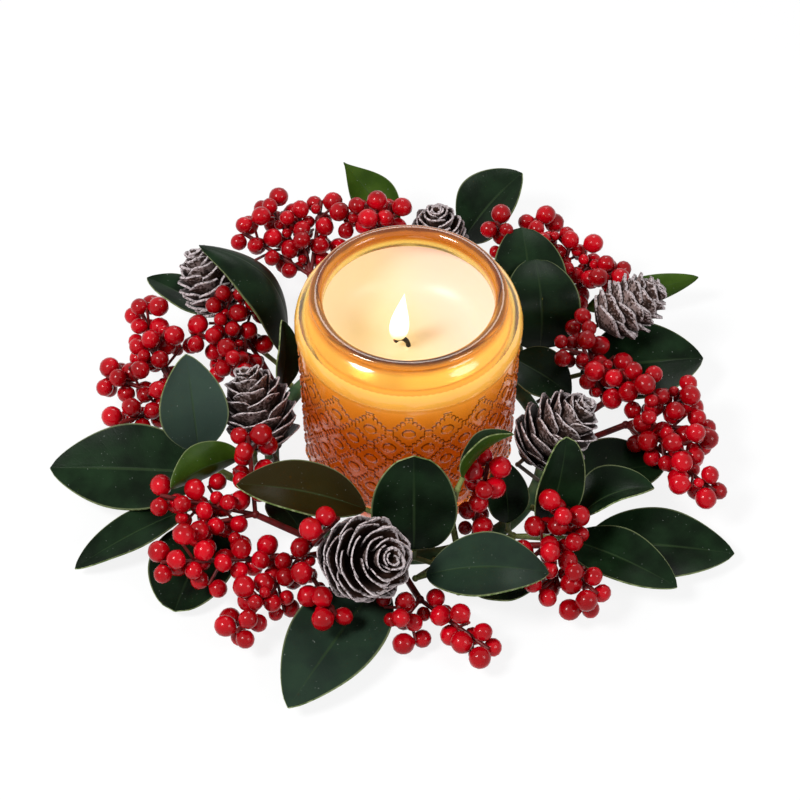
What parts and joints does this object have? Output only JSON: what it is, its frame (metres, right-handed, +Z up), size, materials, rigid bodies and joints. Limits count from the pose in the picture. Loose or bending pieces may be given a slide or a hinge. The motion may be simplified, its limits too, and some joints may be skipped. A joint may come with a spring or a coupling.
{
  "type": "candle ring",
  "caption": "Candle ring of satin leaves, glossy red berries and frosted pine cones on a wire hoop, with a candle in an amber glass jar that lifts out of its middle.",
  "frame": {"origin": "middle of the candle jar's foot, on the surface that the ring stands on", "axes": "+Z up along the candle's axis, -Y towards the side with the longest leaf in front, +X to its right"},
  "size_m": [0.2714, 0.2688, 0.094],
  "materials": {
    "leaf": "satin woven leaf with a pale edge and a lighter underside",
    "leaf_stem": "moulded olive-green stalk",
    "berry": "glossy crimson lacquer",
    "berry_twig": "dark red coated stalk",
    "pine_cone": "dark brown scales with white-frosted rims",
    "cone_wire": "brown-coated wire",
    "hoop_tape": "green waxed floral tape",
    "hoop_wire": "drawn steel wire",
    "jar_glass": "amber pressed glass",
    "wax": "ivory wax, softly shining where it has melted",
    "wick": "braided cotton, burnt at the tip",
    "wick_tab": "stamped sheet"
  },
  "bodies": {
    "ring": {"berries_back": "berry", "berries_back_left": "berry", "berries_back_right": "berry", "berries_front": "berry", "berries_front_left": "berry", "berries_front_right": "berry", "berries_jar_side": "berry", "berries_left": "berry", "berries_left_back": "berry", "berries_left_front": "berry", "berries_right": "berry", "berries_right_back": "berry", "berry_twigs_back": "berry_twig", "berry_twigs_back_left": "berry_twig", "berry_twigs_back_right": "berry_twig", "berry_twigs_front": "berry_twig", "berry_twigs_front_left": "berry_twig", "berry_twigs_front_right": "berry_twig", "berry_twigs_jar_side": "berry_twig", "berry_twigs_left": "berry_twig", "berry_twigs_left_back": "berry_twig", "berry_twigs_left_front": "berry_twig", "berry_twigs_right": "berry_twig", "berry_twigs_right_back": "berry_twig", "cone_wires": "cone_wire", "hoop_tape": "hoop_tape", "hoop_wire": "hoop_wire", "leaf_stems_back": "leaf_stem", "leaf_stems_front": "leaf_stem", "leaf_stems_front_left": "leaf_stem", "leaf_stems_front_right": "leaf_stem", "leaf_stems_jar_side": "leaf_stem", "leaf_stems_left": "leaf_stem", "leaf_stems_left_back": "leaf_stem", "leaf_stems_right": "leaf_stem", "leaf_stems_right_back": "leaf_stem", "leaf_stems_right_front": "leaf_stem", "leaves_back": "leaf", "leaves_front": "leaf", "leaves_front_left": "leaf", "leaves_front_right": "leaf", "leaves_jar_side": "leaf", "leaves_left": "leaf", "leaves_left_back": "leaf", "leaves_right": "leaf", "leaves_right_back": "leaf", "leaves_right_front": "leaf", "pine_cone_back": "pine_cone", "pine_cone_front": "pine_cone", "pine_cone_left": "pine_cone", "pine_cone_left_back": "pine_cone", "pine_cone_right": "pine_cone", "pine_cone_right_back": "pine_cone"},
    "candle": {"candle_jar": "jar_glass", "candle_wax": "wax", "wick": "wick", "wick_tab": "wick_tab"}
  },
  "joints": [
    {"name": "candle_lift", "type": "slide", "parent": "ring", "child": "candle", "axis": [0, 0, 1], "range_m": [0, 0.12]}
  ]
}
